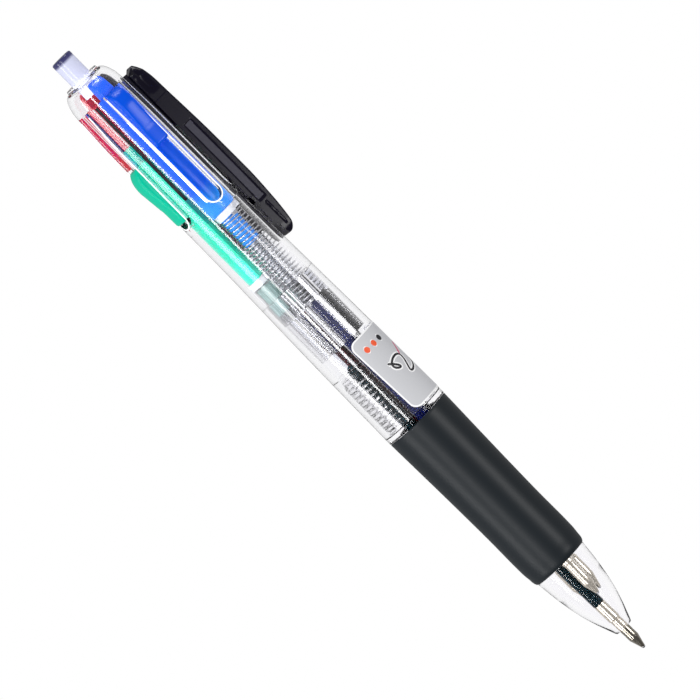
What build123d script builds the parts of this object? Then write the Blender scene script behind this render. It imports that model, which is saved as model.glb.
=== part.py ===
"""Multicolor click pen: a clear barrel with four coloured slide buttons, four spring-loaded
ballpoint refills, a clip carried by the black button, a printed label, and a clear screw-on
nose with a rubber grip.

The pen lies on its side. +X runs from the rear plug to the writing tip along the pen's axis,
+Z is up. The origin is under the middle of the pen's box, on the surface it lies on.
Millimetres. Stations L are measured from the plug's rear end, radii from the pen's axis.
The green refill is out; the other three are retracted.
"""

import math
import os

from build123d import *

os.makedirs("parts", exist_ok=True)

# ------------------------------------------------------------------ driving dimensions
LENGTH = 146.0  # plug to ball, with one refill out
AXIS_Y = -1.577  # the pen's axis in the row frame
AXIS_Z = 6.604
TRAVEL = 12.8  # how far a button slides

PHI = {"blue": 25.6, "black": 115.6, "green": -64.4, "red": -154.4}  # from +Z towards +Y
OUT = "green"  # the refill that is out

# rear barrel
PLUG_R = 2.1  # the part that stands out
PLUG_NECK_R = 1.9  # the part pressed into the barrel
PLUG_END = 8.5
BOSS_L, BOSS_R = 5.1, 3.5
DOME_L = 5.6
BARREL = [(10.5, 5.45), (19.0, 5.8), (46.0, 5.93), (54.4, 6.07), (63.0, 6.25), (72.0, 6.4), (87.9, 6.58)]
BORE_A, BORE_B, BORE_C, BORE_D = 4.7, 5.0, 5.2, 5.6  # four steps of the bore
STEP_A, STEP_B, STEP_C = 38.5, 56.5, 74.5  # where the bore steps
WALL = 0.75
SLOT_W, SLOT_L0, SLOT_L1 = 3.5, 10.0, 36.9
RIB_T, RIB_R, RIB_L0, RIB_L1 = 0.8, 2.5, 10.5, 33.0

# buttons
PITCH_R = 2.95  # refill sockets and springs, from the pen's axis
BODY_L0, BODY_L1 = 10.2, 38.9
BODY_R = 4.55
HALF_GAP = 0.52  # from a button's flank to the 45 degree plane between two buttons
BODY_FLOOR = 1.6
NECK_W = 3.2
KNOB_END = 22.8
STEM_R, STEM_END = 1.6, 46.5

# springs
SPRING_R, WIRE = 1.81, 0.28  # mean coil radius, wire diameter
SPRING_L0, SPRING_L1, TURNS = 40.35, 61.2, 21
WASHER_L1 = 40.2

# spring seat
SEAT_R, SEAT_L0, SEAT_L1, SEAT_FLOOR = 5.18, 56.5, 70.4, 61.25
POCKET_R, GUIDE_R, GUIDE_PITCH_R = 2.01, 1.55, 2.6

# front barrel and grip
SPIGOT_L0, FLANGE_L0, FLANGE_L1 = 75.4, 87.9, 89.1
THREAD_ROOT, THREAD_CREST, THREAD_PITCH = 5.15, 5.5, 1.03
FRONT_BORE, UNDER_GRIP_R = 4.2, 4.98
GRIP_L1, MOUTH_L, MOUTH_R = 124.9, 140.9, 1.85
TIP_HOLE_R = 1.2

# refill, stations given for the one that is out
REFILL_L0 = 52.5
TUBE_R, TUBE_BORE, TUBE_L1 = 1.15, 0.8, 134.7
SHANK_L0, TIP_STEP, TIP_CONE, BALL_R = 131.2, 138.6, 143.5, 0.35
INK_L0, INK_L1 = 74.0, 131.1
TILT_IN, TILT_OUT = 0.40, 1.888  # degrees, towards the axis


# ------------------------------------------------------------------ helpers
def turned(*edges):
    """A solid of revolution about the pen's axis from a closed outline of edges in (L, r)."""
    return revolve(make_face(Curve() + list(edges)), Axis.X)


def turned_poly(*pts):
    return revolve(make_face(Polyline(*pts, close=True)), Axis.X)


def rod(r, l0, l1, y=0.0, z=0.0):
    return Pos(l0, y, z) * Rot(0, 90, 0) * Cylinder(r, l1 - l0, align=(Align.CENTER, Align.CENTER, Align.MIN))


def box(l0, l1, y0, y1, z0, z1):
    return Pos(l0, y0, z0) * Box(l1 - l0, y1 - y0, z1 - z0, align=(Align.MIN, Align.MIN, Align.MIN))


def side_plate(outline, half):
    """An outline of edges in (L, z), extruded half to each side of the button's middle plane."""
    face = make_face(Curve() + list(outline))
    face = Plane.XZ * face
    return extrude(face, half, both=True)


def softened(solid, edges, *radii):
    for r in radii:
        try:
            out = fillet(edges, r)
            if out.is_valid and out.volume > 0:
                return out
        except Exception:
            continue
    return solid


def at_phi(solid, phi):
    return Rot(-phi, 0, 0) * solid


PLACE = Pos(-LENGTH / 2 + 0.0253, AXIS_Y, AXIS_Z)
written = []


def save(name, solid):
    solid = PLACE * solid
    solids = solid.solids()
    assert len(solids) == 1, (name, len(solids))
    solid = solids[0]
    assert solid.is_valid, name
    solid.label = name
    export_step(solid, f"parts/{name}.step")
    written.append((name, solid))
    b = solid.bounding_box()
    print(f"{name:18s} {solid.volume:9.2f} mm3  x {b.min.X:8.3f} {b.max.X:8.3f}  y {b.min.Y:7.3f} {b.max.Y:7.3f}  z {b.min.Z:7.3f} {b.max.Z:7.3f}")


# ------------------------------------------------------------------ rear barrel
def rear_barrel():
    a, b = 10.5 - DOME_L, 5.45 - BOSS_R
    dome = [(10.5 - a * math.cos(t), BOSS_R + b * math.sin(t)) for t in [math.pi / 2 * i / 6 for i in range(7)]]
    outer = turned(
        Line((BOSS_L, 0), (BOSS_L, BOSS_R)),
        Line((BOSS_L, BOSS_R), (DOME_L, BOSS_R)),
        Spline(*dome, tangents=[(0, 1), (1, 0)]),
        Polyline(*BARREL),
        Line(BARREL[-1], (87.9, 0)),
        Line((87.9, 0), (BOSS_L, 0)),
    )
    ia, ib = 10.5 - DOME_L - WALL, BORE_A - 3.0
    inner_dome = [(10.5 - ia * math.cos(t), 3.0 + ib * math.sin(t)) for t in [math.pi / 2 * i / 6 for i in range(7)]]
    inner = turned(
        Line((DOME_L + WALL, 0), (DOME_L + WALL, 3.0)),
        Spline(*inner_dome, tangents=[(0, 1), (1, 0)]),
        Polyline(
            (10.5, BORE_A), (STEP_A, BORE_A), (STEP_A, BORE_B), (STEP_B, BORE_B), (STEP_B, BORE_C),
            (STEP_C, BORE_C), (STEP_C, BORE_D), (87.9, BORE_D), (87.9, 0),
        ),
        Line((87.9, 0), (DOME_L + WALL, 0)),
    )
    shell = outer - inner - rod(PLUG_NECK_R, 0, 12)
    ribs = []
    for phi in PHI.values():
        rib = box(RIB_L0, RIB_L1, -RIB_T / 2, RIB_T / 2, RIB_R, BORE_A + 0.3)
        ribs.append(at_phi(rib, phi + 45))
    shell = shell + ribs
    for phi in PHI.values():
        end = SLOT_L1 - SLOT_W / 2
        slot = box(SLOT_L0, end, -SLOT_W / 2, SLOT_W / 2, 3.0, 8.0)
        slot += Pos(end, 0, 3.0) * Cylinder(SLOT_W / 2, 5.0, align=(Align.CENTER, Align.CENTER, Align.MIN))
        shell -= at_phi(slot, phi)
    return shell


def end_plug():
    plug = rod(PLUG_R, 0, BOSS_L) + rod(PLUG_NECK_R, BOSS_L, PLUG_END)
    rear = plug.edges().filter_by(GeomType.CIRCLE).sort_by(Axis.X)[0]
    return softened(plug, [rear], 0.35, 0.25)


# ------------------------------------------------------------------ buttons
def carriage():
    """The wide part of a button that runs inside the barrel, with its socket for the refill."""
    off = HALF_GAP * math.sqrt(2)
    low, high = BODY_FLOOR, BODY_R + 1
    section = make_face(
        Polyline((low - off, low), (high - off, high), (-(high - off), high), (-(low - off), low), close=True)
    )
    wedge = Pos(BODY_L0, 0, 0) * extrude(Plane.YZ * section, BODY_L1 - BODY_L0)
    wedge &= rod(BODY_R, 5, 45)
    stem = rod(STEM_R, BODY_L1 - 1.0, STEM_END, z=PITCH_R)
    lug = side_plate(
        [Polyline((6.7, 2.3), (6.7, 3.1), (7.4, 3.65), (8.5, 4.05), (10.7, 4.3), (10.7, 2.3), (6.7, 2.3))], 1.4
    )
    body = wedge + stem + lug
    cone = Pos(REFILL_L0 - TRAVEL - 0.3, 0, PITCH_R) * Rot(0, 90, 0) * Cone(
        1.24, 1.42, STEM_END - (REFILL_L0 - TRAVEL) + 0.3, align=(Align.CENTER, Align.CENTER, Align.MIN)
    )
    return body - cone


def knob():
    top = Spline((BODY_L0, 5.8), (11.5, 6.7), (13.5, 7.0), (16.5, 6.75), (19.5, 6.35), (22.2, 6.25))
    plate = side_plate(
        [
            top,
            Polyline((22.2, 6.25), (KNOB_END, 5.75), (KNOB_END, 4.3), (BODY_L0, 4.3), (BODY_L0, 5.8)),
        ],
        NECK_W / 2,
    )
    tops = plate.edges().filter_by(lambda e: e.center().Z > 6.15 and abs(e.center().Y) > NECK_W / 2 - 0.01)
    return softened(plate, tops, 1.2, 1.0, 0.8, 0.6, 0.4)


def thumb_pad():
    half = 2.0
    neck = box(BODY_L0, 17.15, -NECK_W / 2, NECK_W / 2, 4.3, 6.3) + box(17.15, KNOB_END, -NECK_W / 2, NECK_W / 2, 4.3, 5.95)
    front = 17.15
    plate = side_plate(
        [
            Spline((9.8, 8.0), (11.4, 8.75), (14.0, 9.2), (front, 9.35)),
            Polyline((front, 9.35), (front, 6.1), (10.8, 6.1), (11.1, 7.0), (9.8, 8.0)),
        ],
        half,
    )
    tops = plate.edges().filter_by(lambda e: e.center().Z > 8.5 and abs(e.center().Y) > half - 0.01)
    plate = softened(plate, tops, 0.4, 0.3)
    for side in (-1, 1):
        dimple = Pos(13.2, side * (half + 0.55), 7.6) * Rot(90, 0, 0) * Sphere(1.3)
        plate -= dimple
    return neck + plate


def clip():
    half, rear = 2.0, 17.2
    outer = Spline((rear, 9.35), (22.0, 9.65), (28.1, 9.9), (36.8, 9.95), (43.9, 9.45), (48.2, 8.7), (50.2, 7.4))
    plate = side_plate(
        [
            outer,
            Polyline(
                (50.2, 7.4), (50.2, 6.75), (47.4, 6.75), (47.0, 6.2), (43.3, 6.2), (43.3, 6.75), (40.7, 6.75),
                (40.7, 6.1), (rear, 6.1), (rear, 9.35),
            ),
        ],
        half,
    )
    tops = plate.edges().filter_by(lambda e: e.center().Z > 9.0 and abs(e.center().Y) > half - 0.01)
    plate = softened(plate, tops, 0.4, 0.3)
    return plate - box(18.4, 42.5, -1.15, 1.15, 5.0, 8.3)


def washer():
    return rod(2.0, BODY_L1, WASHER_L1, z=PITCH_R) - rod(STEM_R + 0.02, BODY_L1 - 1, WASHER_L1 + 1, z=PITCH_R)


def spring(l0, l1):
    """A closed round-wire coil from l0 to l1, with a flat half turn at each end."""
    length = l1 - l0 - WIRE
    path = Helix(pitch=length / TURNS, height=length, radius=SPRING_R)
    wire = Wire([path]) if not isinstance(path, Wire) else path
    start = path @ 0
    plane = Plane(origin=start, z_dir=path % 0)
    coil = sweep(plane * Circle(WIRE / 2), path=wire)
    return Pos(l0 + WIRE / 2, 0, PITCH_R) * Rot(0, 90, 0) * coil


def spring_seat():
    seat = rod(SEAT_R, SEAT_L0 + 0.05, SEAT_L1)
    for phi in PHI.values():
        seat -= at_phi(rod(POCKET_R, SEAT_L0 - 1, SEAT_FLOOR, z=PITCH_R), phi)
        seat -= at_phi(rod(GUIDE_R, SEAT_L0 - 1, SEAT_L1 + 1, z=GUIDE_PITCH_R), phi)
    return seat


# ------------------------------------------------------------------ front section
def front_barrel():
    pts = [(SPIGOT_L0, FRONT_BORE), (SPIGOT_L0, THREAD_ROOT), (SPIGOT_L0 + 0.5, THREAD_ROOT)]
    l = SPIGOT_L0 + 0.5
    while l + THREAD_PITCH < FLANGE_L0 - 0.2:
        pts += [(l + 0.12, THREAD_ROOT), (l + 0.42, THREAD_CREST), (l + 0.61, THREAD_CREST), (l + 0.91, THREAD_ROOT)]
        l += THREAD_PITCH
    pts += [
        (FLANGE_L0, THREAD_ROOT), (FLANGE_L0, 6.58), (FLANGE_L1, 6.58), (FLANGE_L1, UNDER_GRIP_R),
        (GRIP_L1, UNDER_GRIP_R), (GRIP_L1, 5.44), (133.3, 4.2), (MOUTH_L - 0.25, MOUTH_R), (MOUTH_L, MOUTH_R - 0.25),
        (MOUTH_L, TIP_HOLE_R), (139.6, TIP_HOLE_R), (138.6, 1.5), (130.0, FRONT_BORE),
    ]
    return turned_poly(*pts)


def grip():
    return turned(
        Line((FLANGE_L1, 5.0), (FLANGE_L1, 6.45)),
        Line((FLANGE_L1, 6.45), (FLANGE_L1 + 0.15, 6.58)),
        Spline(
            (FLANGE_L1 + 0.15, 6.58), (93.0, 6.48), (98.0, 6.36), (107.0, 6.18), (114.0, 6.10), (119.0, 6.13),
            (122.5, 6.02), (124.2, 5.78), (GRIP_L1, 5.5),
        ),
        Line((GRIP_L1, 5.5), (GRIP_L1, 5.0)),
        Line((GRIP_L1, 5.0), (FLANGE_L1, 5.0)),
    )


def label():
    l0, l1, phi0, phi1 = 71.6, 87.6, 7.0, 134.0

    def r(l):
        return 6.4 + (l - 72.0) * 0.18 / 15.9 + 0.03

    film = revolve(
        Plane.XZ * make_face(Polyline((l0, r(l0)), (l0, r(l0) + 0.08), (l1, r(l1) + 0.08), (l1, r(l1)), close=True)),
        Axis.X,
        phi1 - phi0,
    )
    # the film starts at +Z and turns towards -Y; bring it to its place
    film = Rot(-phi1, 0, 0) * film
    corners = [e for e in film.edges() if e.length < 0.12]
    return softened(film, corners, 1.2, 0.8)


# ------------------------------------------------------------------ refills
def refill(kind):
    """Tube, ink, tip or ball of the refill that is out, on its own axis, which is the pen's axis moved out."""
    if kind == "tube":
        return rod(TUBE_R, REFILL_L0, TUBE_L1) - rod(TUBE_BORE, REFILL_L0 - 1, TUBE_L1 + 1)
    if kind == "ink":
        return rod(TUBE_BORE, INK_L0, INK_L1)
    ball_at = LENGTH - BALL_R
    if kind == "ball":
        return Pos(ball_at, 0, 0) * Sphere(BALL_R)
    tip = turned_poly(
        (SHANK_L0, 0), (SHANK_L0, TUBE_BORE), (TUBE_L1, TUBE_BORE), (TUBE_L1, TUBE_R), (TIP_STEP - 0.1, TUBE_R),
        (TIP_STEP, 1.0), (TIP_CONE, 1.0), (LENGTH - 0.3, 0.34), (LENGTH - 0.3, 0),
    )
    return tip - Pos(ball_at, 0, 0) * Sphere(BALL_R)


def placed_refill(kind, colour):
    """Tilt the refill about its rear end towards the pen's axis and put it in its socket."""
    out = colour == OUT
    piece = Pos(-REFILL_L0, 0, 0) * refill(kind)
    piece = Rot(0, TILT_OUT if out else TILT_IN, 0) * piece
    return Pos(REFILL_L0 - (0 if out else TRAVEL), 0, PITCH_R) * piece


# ------------------------------------------------------------------ build
save("rear_barrel", rear_barrel())
save("end_plug", end_plug())
save("spring_seat", spring_seat())
save("label", label())
save("front_barrel", front_barrel())
save("grip", grip())

run = carriage()
plain, padded = run + knob(), run + thumb_pad()
coil_in = spring(SPRING_L0, SPRING_L1)
coil_out = spring(SPRING_L0 + TRAVEL, SPRING_L1)

for colour, phi in PHI.items():
    shift = Pos(TRAVEL if colour == OUT else 0, 0, 0)
    save(f"{colour}_slider", at_phi(shift * (padded if colour == "black" else plain), phi))
    save(f"{colour}_washer", at_phi(shift * washer(), phi))
    save(f"{colour}_spring", at_phi(coil_out if colour == OUT else coil_in, phi))
    for kind in ("tube", "ink", "tip", "ball"):
        save(f"{colour}_{kind}", at_phi(placed_refill(kind, colour), phi))
save("clip", at_phi(clip(), PHI["black"]))

boxes = [s.bounding_box() for _, s in written]
print(len(written), "pieces;  x", min(b.min.X for b in boxes), max(b.max.X for b in boxes))
print("y", min(b.min.Y for b in boxes), max(b.max.Y for b in boxes), " z", min(b.min.Z for b in boxes), max(b.max.Z for b in boxes))
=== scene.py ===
"""Multicolor click pen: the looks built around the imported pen.

The pen lies on its side, plug end at -X, tip at +X. Lengths inside this file are in millimetres and become
metres when a mesh is made. A station L is measured from the plug's rear end, a radius from the pen's axis.
"Up" in a button's own frame points out of the pen through that button. Places written as pairs are (L, r).
"""

import math

import bpy
import numpy as np
from bpy.props import FloatProperty, FloatVectorProperty, IntProperty, PointerProperty
from mathutils import Matrix, Vector


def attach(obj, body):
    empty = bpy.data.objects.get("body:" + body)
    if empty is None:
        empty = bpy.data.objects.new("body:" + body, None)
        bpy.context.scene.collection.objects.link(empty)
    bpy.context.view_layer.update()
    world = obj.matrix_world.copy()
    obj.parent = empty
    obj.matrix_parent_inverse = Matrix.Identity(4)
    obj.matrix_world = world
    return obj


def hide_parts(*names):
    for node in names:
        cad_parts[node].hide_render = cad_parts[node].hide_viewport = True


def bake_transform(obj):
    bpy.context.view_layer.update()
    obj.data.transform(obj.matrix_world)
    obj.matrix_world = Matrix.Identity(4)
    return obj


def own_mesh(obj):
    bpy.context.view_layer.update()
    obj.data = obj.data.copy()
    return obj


bl_info = {
    "name": "Multicolor click pen",
    "version": (1, 0, 0),
    "blender": (4, 5, 0),
    "location": "View3D > Sidebar > Pen",
    "description": "Builds the looks of a clear multicolor click pen around its packed solids",
    "category": "Add Mesh",
}

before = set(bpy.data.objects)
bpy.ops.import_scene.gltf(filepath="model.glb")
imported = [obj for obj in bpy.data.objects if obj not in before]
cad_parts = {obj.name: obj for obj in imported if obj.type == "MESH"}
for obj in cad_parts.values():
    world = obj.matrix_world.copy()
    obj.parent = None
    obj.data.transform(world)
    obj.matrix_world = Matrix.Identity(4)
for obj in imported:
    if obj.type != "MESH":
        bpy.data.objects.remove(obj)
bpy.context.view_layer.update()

MM = 0.001
AXIS = (-72.9747, -1.577, 6.604)  # the row frame's place of station 0 on the pen's axis
PHI = {"blue": 25.6, "black": 115.6, "green": -64.4, "red": -154.4}  # each button's angle from +Z towards +Y
OUT = "green"  # the button that rests clicked in
TRAVEL = 12.8  # of a button
PITCH_R = 2.95  # springs and sockets, from the pen's axis
SEAT_FLOOR = 61.2  # the springs' front ends


# ------------------------------------------------------------------ properties
class PenShape(bpy.types.PropertyGroup):
    """Sizes that a user would change."""

    wire: FloatProperty(
        name="Spring wire", description="Diameter of the spring wire", default=0.00028, unit="LENGTH"
    )
    turns: IntProperty(name="Spring turns", description="Turns of each spring", default=27, min=4)
    thread_pitch: FloatProperty(
        name="Thread pitch", description="Pitch of the nose's screw thread", default=0.00103, unit="LENGTH"
    )
    thread_height: FloatProperty(
        name="Thread height", description="Height of the screw thread", default=0.00035, unit="LENGTH"
    )
    segments: IntProperty(
        name="Segments", description="Segments round each turned piece", default=192, min=24
    )


class PenColours(bpy.types.PropertyGroup):
    """Colours that a user would change."""

    blue: FloatVectorProperty(
        name="Blue button", description="Blue plastic", subtype="COLOR", default=(0.0, 0.095, 0.70)
    )
    black: FloatVectorProperty(
        name="Black button",
        description="Black plastic and clip",
        subtype="COLOR",
        default=(0.006, 0.005, 0.012),
    )
    green: FloatVectorProperty(
        name="Green button", description="Green plastic", subtype="COLOR", default=(0.0, 0.55, 0.36)
    )
    red: FloatVectorProperty(
        name="Red button", description="Red plastic", subtype="COLOR", default=(0.46, 0.005, 0.03)
    )
    rubber: FloatVectorProperty(
        name="Grip", description="Rubber of the grip", subtype="COLOR", default=(0.010, 0.014, 0.018)
    )
    label: FloatVectorProperty(
        name="Label", description="Label film", subtype="COLOR", default=(0.56, 0.565, 0.59)
    )
    plug: FloatVectorProperty(
        name="Rear plug", description="Plug plastic", subtype="COLOR", default=(0.66, 0.68, 0.84)
    )


# ------------------------------------------------------------------ mesh helpers
def turn(y, z, phi):
    """Turn a button's own across and up into the pen's Y and Z."""
    c, s = math.cos(math.radians(phi)), math.sin(math.radians(phi))
    return y * c + z * s, -y * s + z * c


def quads(rows, cols, wrap_rows):
    """Quads of a grid of points numbered row by row. The columns close round, and the rows where asked."""
    i = np.arange(rows if wrap_rows else rows - 1)[:, None]
    j = np.arange(cols)[None, :]
    a = i * cols + j
    b = i * cols + (j + 1) % cols
    c = ((i + 1) % rows) * cols + (j + 1) % cols
    d = ((i + 1) % rows) * cols + j
    return np.stack([a, b, c, d], -1).reshape(-1, 4)


class Part:
    """Gathers points in millimetres and faces, then makes one object of them."""

    def __init__(self):
        self.points, self.faces, self.mats, self.count = [], [], [], 0

    def add(self, points, faces, caps=(), mat=0):
        """Add one closed shell of quads and caps, turned outward by the sign of its volume."""
        points = points.reshape(-1, 3)
        tris = [faces[:, [0, 1, 2]], faces[:, [0, 2, 3]]]
        tris += [np.stack([np.full(len(c) - 2, c[0]), c[1:-1], c[2:]], -1) for c in caps]
        t = points[np.concatenate(tris)]
        volume = np.einsum("ij,ij->i", t[:, 0], np.cross(t[:, 1], t[:, 2])).sum()
        if volume < 0:
            faces, caps = faces[:, ::-1], [c[::-1] for c in caps]
        self.faces += [tuple(int(v) + self.count for v in f) for f in faces]
        self.faces += [tuple(int(v) + self.count for v in c) for c in caps]
        self.mats += [mat] * (len(faces) + len(caps))
        self.points.append(points)
        self.count += len(points)
        return self

    def grid(self, points, wrap_rows=False, mat=0):
        """Add a grid of points of shape rows, columns, 3. Rows that don't close get a cap at each end."""
        rows, cols = points.shape[:2]
        ends = [] if wrap_rows else [np.arange(cols)[::-1], (rows - 1) * cols + np.arange(cols)]
        return self.add(points, quads(rows, cols, wrap_rows), ends, mat)

    def object(self, name, body, materials, replaces, slot, sharp=35.0):
        """Make the object that stands for some CAD nodes and rides a body. Edges over `sharp` stay sharp."""
        mesh = bpy.data.meshes.new(name)
        points = (np.concatenate(self.points) + np.array(AXIS)) * MM
        mesh.from_pydata(points, [], self.faces)
        for m in materials:
            mesh.materials.append(m)
        mesh.polygons.foreach_set("material_index", self.mats)
        mesh.polygons.foreach_set("use_smooth", [True] * len(self.mats))
        mesh.set_sharp_from_angle(angle=math.radians(sharp))
        mesh.update()
        obj = bpy.data.objects.new(name, mesh)
        bpy.context.scene.collection.objects.link(obj)
        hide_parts(*replaces)
        if body:
            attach(obj, body)
        return obj


def smooth(x):
    """0 below 0, 1 above 1, and an even curve between."""
    x = np.clip(x, 0.0, 1.0)
    return x * x * (3.0 - 2.0 * x)


def between(x, first, last, rise, fall):
    """1 between two places and 0 outside, with a smooth step at each."""
    return smooth((x - first) / rise) * smooth((last - x) / fall)


def curve(stations, values, at):
    """A smooth curve through a few points: a cubic between each two. The slope at a point is the harmonic
    mean of the slopes beside it, or level at a crest or a dip, so that the curve never overshoots."""
    x, y, at = np.asarray(stations, float), np.asarray(values, float), np.asarray(at, float)
    h, d = np.diff(x), np.diff(y) / np.diff(x)
    never_zero = 1e-12
    mean = 2 * d[1:] * d[:-1] / (d[1:] + d[:-1] + never_zero)
    m = np.concatenate([[d[0]], np.where(d[1:] * d[:-1] > 0, mean, 0.0), [d[-1]]])
    k = np.clip(np.searchsorted(x, at) - 1, 0, len(h) - 1)
    t = (at - x[k]) / h[k]
    return (
        y[k] * (1 + 2 * t) * (1 - t) ** 2
        + m[k] * h[k] * t * (1 - t) ** 2
        + y[k + 1] * t * t * (3 - 2 * t)
        + m[k + 1] * h[k] * t * t * (t - 1)
    )


def ring(l, r, angle):
    """Points at stations l and radii r round the pen's axis; the angle runs from +Z towards +Y."""
    l, r, angle = np.broadcast_arrays(l, r, angle)
    return np.stack([l, r * np.sin(angle), r * np.cos(angle)], -1)


def full_turn(segments):
    """Angles once round, as a row."""
    return np.linspace(0, 2 * np.pi, segments, endpoint=False)[None, :]


def at_button(points, phi):
    """Points as L, across, up in a button's own frame, turned into the pen's frame."""
    y, z = turn(points[..., 1], points[..., 2], phi)
    return np.stack([points[..., 0], y, z], -1)


def tombstone(half, low, high, corner, crown=0.0):
    """Sections with a flat floor, upright sides, corners that are quarter circles and a top crowned as a
    parabola, walked from the floor's left end. Each argument is a number or one value per section; returns
    across and up, one row per section."""
    sizes = [np.atleast_1d(np.asarray(v, float))[:, None] for v in (half, low, high, corner, crown)]
    half, low, high, corner, crown = sizes
    one = np.ones_like(half + low + high + corner + crown)
    floor = np.linspace(-1, 1, 7)[None, :]
    rise = np.linspace(0, 1, 6)[None, 1:-1]
    bend = np.linspace(0, np.pi / 2, 8)[None, :]
    top = np.linspace(1, -1, 9)[None, 1:-1]
    side = low + (high - corner - low) * rise
    corner_y = half - corner + corner * np.cos(bend)
    corner_z = high - corner + corner * np.sin(bend)
    level = np.ones_like(rise)
    crest = high + crown * (1 - top**2)
    y = [half * floor, half * level, corner_y, (half - corner) * top, -corner_y[:, ::-1], -half * level]
    z = [low * np.ones_like(floor), side, corner_z, crest, corner_z[:, ::-1], side[:, ::-1]]
    return [np.concatenate([v * one for v in values], 1) for values in (y, z)]


def loft(part, stations, across, up, phi):
    """Join one section per station along the pen, with a flat cap at each end."""
    l = np.broadcast_to(np.asarray(stations, float)[:, None], across.shape)
    return part.grid(at_button(np.stack([l, across, up], -1), phi))


# ------------------------------------------------------------------ materials
def material(name, colour, rough=0.3, metal=0.0, clear=0.0, ior=1.49, coat=0.0, shine=0.5, glow=0.0):
    """A plain material of one Principled shader. On a fully clear one, `shine` also scales what its surface
    mirrors when looked at squarely; on any, 0.5 is the plastic's own."""
    m = bpy.data.materials.new(name)
    m.use_nodes = True
    s = m.node_tree.nodes["Principled BSDF"]
    s.inputs["Base Color"].default_value = (*colour, 1.0)
    s.inputs["Roughness"].default_value = rough
    s.inputs["Metallic"].default_value = metal
    s.inputs["Transmission Weight"].default_value = clear
    s.inputs["IOR"].default_value = ior
    s.inputs["Coat Weight"].default_value = coat
    s.inputs["Coat Roughness"].default_value = 0.05
    s.inputs["Specular IOR Level"].default_value = shine
    if clear == 1.0:
        s.inputs["Specular Tint"].default_value = (2 * shine, 2 * shine, 2 * shine, 1.0)
    s.inputs["Emission Color"].default_value = (*colour, 1.0)
    s.inputs["Emission Strength"].default_value = glow
    return m


def let_light_in(m, tint):
    """Light reaches what lies behind a clear piece: its shadow is only a tint."""
    tree = m.node_tree
    shader, output = tree.nodes["Principled BSDF"], tree.nodes["Material Output"]
    path, clear = tree.nodes.new("ShaderNodeLightPath"), tree.nodes.new("ShaderNodeBsdfTransparent")
    mix = tree.nodes.new("ShaderNodeMixShader")
    clear.inputs["Color"].default_value = (*tint, 1.0)
    tree.links.new(path.outputs["Is Shadow Ray"], mix.inputs[0])
    tree.links.new(shader.outputs[0], mix.inputs[1])
    tree.links.new(clear.outputs[0], mix.inputs[2])
    tree.links.new(mix.outputs[0], output.inputs["Surface"])
    return m


def noise_bump(m, scale, distance):
    """A fine random unevenness on Object coordinates: `scale` per metre, `distance` metres deep."""
    tree = m.node_tree
    place, noise, bump = (tree.nodes.new("ShaderNode" + k) for k in ("TexCoord", "TexNoise", "Bump"))
    noise.inputs["Scale"].default_value = scale
    noise.inputs["Detail"].default_value = 3.0
    bump.inputs["Distance"].default_value = distance
    bump.inputs["Strength"].default_value = 1.0
    tree.links.new(place.outputs["Object"], noise.inputs["Vector"])
    tree.links.new(noise.outputs["Fac"], bump.inputs["Height"])
    tree.links.new(bump.outputs[0], tree.nodes["Principled BSDF"].inputs["Normal"])
    return m


def along_ramp(m, stops):
    """Base colour by station along the pen: stops are (station, colour), blended between."""
    tree = m.node_tree
    place, split, span, ramp = (
        tree.nodes.new("ShaderNode" + k) for k in ("TexCoord", "SeparateXYZ", "MapRange", "ValToRGB")
    )
    first, last = stops[0][0], stops[-1][0]
    span.inputs["From Min"].default_value = (first + AXIS[0]) * MM
    span.inputs["From Max"].default_value = (last + AXIS[0]) * MM
    for k, (station, colour) in enumerate(stops):
        at = (station - first) / (last - first)
        e = ramp.color_ramp.elements[k] if k < 2 else ramp.color_ramp.elements.new(at)
        e.position, e.color = at, (*colour, 1.0)
    tree.links.new(place.outputs["Object"], split.inputs[0])
    tree.links.new(split.outputs["X"], span.inputs["Value"])
    tree.links.new(span.outputs[0], ramp.inputs["Fac"])
    tree.links.new(ramp.outputs["Color"], tree.nodes["Principled BSDF"].inputs["Base Color"])
    return m


CLEAR_TINT = (0.96, 0.96, 0.97)  # what one clear wall lets through
RAMP_START, BACKLIT_FADE = 6.0, 3.0  # a button's colour begins here, and takes this long to turn to the paler colour painted for backlight
BACKLIT_PALE, BACKLIT_SHARE = (0.10, 0.9, 0.9), 0.2  # painted backlight: the long front of a carriage is a little of this colour, as light from below shines through it
SOCKET_FROM, SOCKET_FADE = 51.6, 0.5
SOCKET_PAINTED_LIGHT = (0.62, 0.86, 0.84)  # painted light: the clicked-in button's socket is painted near white inside its pressed spring, where the spring's bright turns wash it out
SMOKE_DARK, SMOKE_EDGE = (0.03, 0.03, 0.10), (0.06, 0.06, 0.17)  # the plug's rear end
INKS = {
    "blue": (0.003, 0.006, 0.06),
    "black": (0.004, 0.004, 0.006),
    "green": (0.002, 0.010, 0.014),
    "red": (0.045, 0.001, 0.004),
}
made = {}


def clear_looks():
    """The barrel's and the nose's clear plastic, and a painted highlight round each slot: white plastic that
    glows.
    """
    clear = material("clear_plastic", (0.97, 0.97, 0.985), 0.03, clear=1.0)
    nose = material("clear_nose", (0.975, 0.97, 0.985), 0.03, clear=1.0, shine=0.1)
    return {
        "clear": let_light_in(clear, CLEAR_TINT),
        "nose": let_light_in(nose, CLEAR_TINT),
        # painted highlight: a glowing white for the bead that stands for light caught on a slot's edge
        "edge": material("slot_highlight_bead", (0.95, 0.95, 0.96), 0.3, glow=0.35),
    }


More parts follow.
